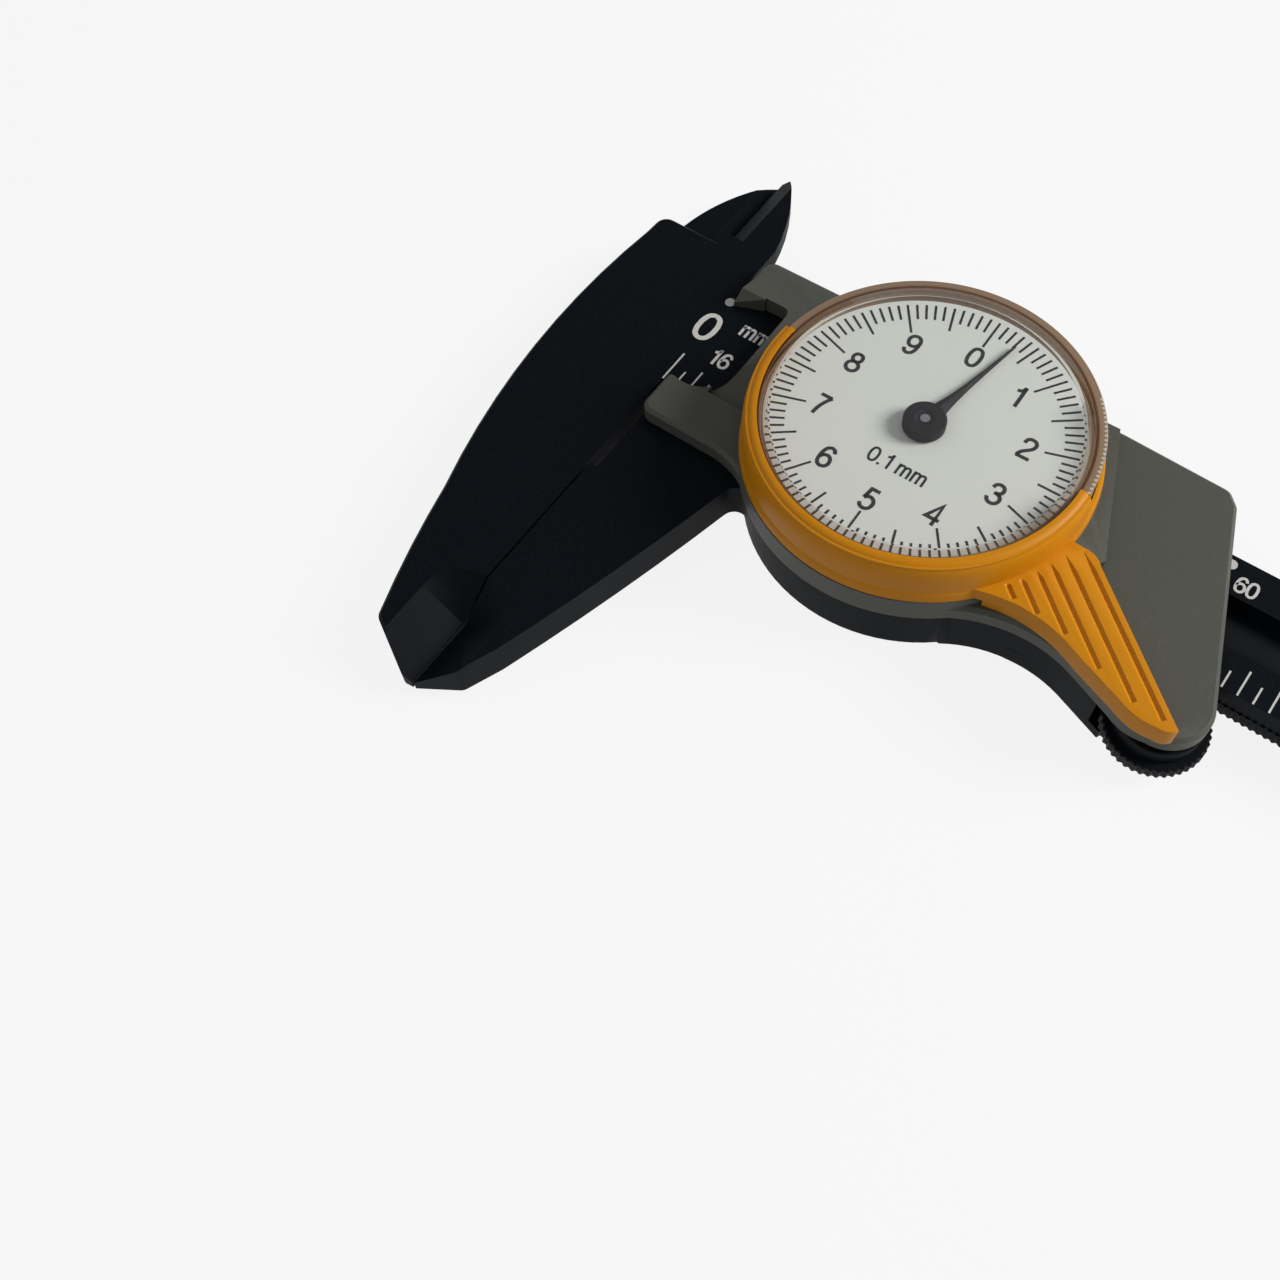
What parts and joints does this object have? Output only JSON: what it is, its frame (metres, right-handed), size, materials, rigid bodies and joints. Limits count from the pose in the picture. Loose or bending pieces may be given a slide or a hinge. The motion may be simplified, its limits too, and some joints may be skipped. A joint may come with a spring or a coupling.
{
  "type": "dial caliper",
  "caption": "Dial caliper with black plastic beam and jaws, grey cover, orange guard and thumb rest, white dial reading tenths of a millimetre, and a depth rod.",
  "frame": {"origin": "On the beam's flat back, at the fixed jaw's measuring face and the beam's centre line", "axes": "+X runs along the beam from the fixed jaw towards the beam's end, +Y towards the tips of the inside jaws, +Z from the beam's back up through the dial"},
  "size_m": [0.2353, 0.0765, 0.0145],
  "materials": {
    "black_plastic": "fine grained moulded plastic",
    "grey_plastic": "satin moulded plastic",
    "orange_plastic": "satin moulded plastic",
    "wheel_plastic": "knurled moulded plastic",
    "dial_white": "printed dial",
    "clear_crystal": "clear polished acrylic",
    "rack_steel": "ground steel",
    "rod_steel": "ground steel",
    "spring_steel": "rolled spring steel",
    "steel_screws": "turned steel",
    "brass_parts": "turned brass"
  },
  "bodies": {
    "beam": {"beam_with_fixed_jaw": "black_plastic", "measuring_rack": "rack_steel", "thumb_rack": "black_plastic", "end_stop": "black_plastic", "end_stop_screw": "steel_screws"},
    "slide": {"slide_with_movable_jaw": "black_plastic", "top_cover": "grey_plastic", "dial_guard": "orange_plastic", "friction_ring": "brass_parts", "upper_bush": "brass_parts", "lower_bush": "brass_parts", "bearing_bridge": "brass_parts", "bridge_screws": "steel_screws", "cover_screws": "steel_screws", "depth_rod": "rod_steel", "depth_rod_rivets": "rod_steel", "gib_spring": "spring_steel", "thumb_wheel_axle": "rod_steel"},
    "pointer_staff": {"pinion_staff": "rod_steel", "pinion": "brass_parts", "pointer": "black_plastic"},
    "dial": {"crystal": "clear_crystal", "dial_plate": "dial_white", "dial_carrier": "grey_plastic"},
    "roller": {"thumb_wheel": "wheel_plastic"}
  },
  "joints": [
    {"name": "slide_travel", "type": "slide", "parent": "beam", "child": "slide", "axis": [1, 0, 0], "range_m": [-0.0003, 0.1497]},
    {"name": "pointer_turn", "type": "hinge", "parent": "slide", "child": "pointer_staff", "pos_m": [0.0283, -0.00111, 0], "axis": [0, 0, 1], "continuous": true},
    {"name": "dial_turn", "type": "hinge", "parent": "slide", "child": "dial", "pos_m": [0.0283, -0.00111, 0], "axis": [0, 0, 1], "continuous": true},
    {"name": "thumb_wheel_turn", "type": "hinge", "parent": "slide", "child": "roller", "pos_m": [0.0619, -0.01221, 0], "axis": [0, 0, 1], "continuous": true}
  ],
  "couplings": [
    {"joint": "pointer_turn", "follows": "slide_travel", "rad_per_m": -628.32},
    {"joint": "thumb_wheel_turn", "follows": "slide_travel", "rad_per_m": 199.47}
  ]
}
